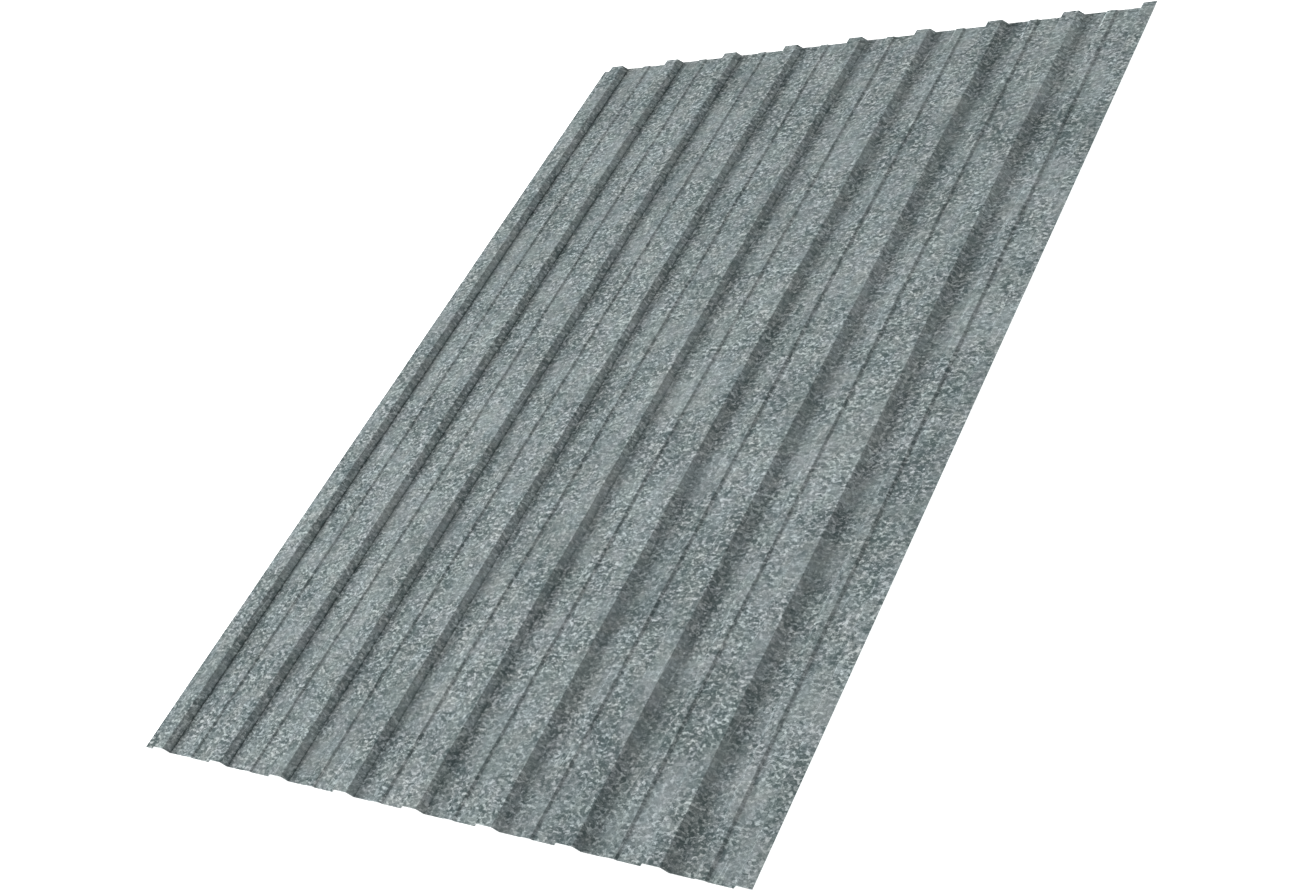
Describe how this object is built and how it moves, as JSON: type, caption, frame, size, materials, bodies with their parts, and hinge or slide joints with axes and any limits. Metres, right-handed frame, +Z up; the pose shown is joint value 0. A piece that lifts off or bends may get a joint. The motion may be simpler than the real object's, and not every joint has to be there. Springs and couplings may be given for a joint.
{
  "type": "corrugated metal sheet",
  "caption": "Ribbed cladding sheet of thin galvanised steel with low flat-topped ribs, a shallow bead along each pan, a flat lip on one edge and an open lap rib on the other.",
  "frame": {"origin": "middle of the sheet's outline, level with the undersides of its pans", "axes": "+Y along the ribs, +X across them from the flat lip to the open last rib, +Z up out of the crests"},
  "size_m": [1.2, 1.7, 0.0105],
  "materials": {
    "galvanised_steel": "hot-dip galvanised, fine spangle, satin"
  },
  "bodies": {
    "root": {"corrugated_sheet": "galvanised_steel"}
  },
  "joints": []
}
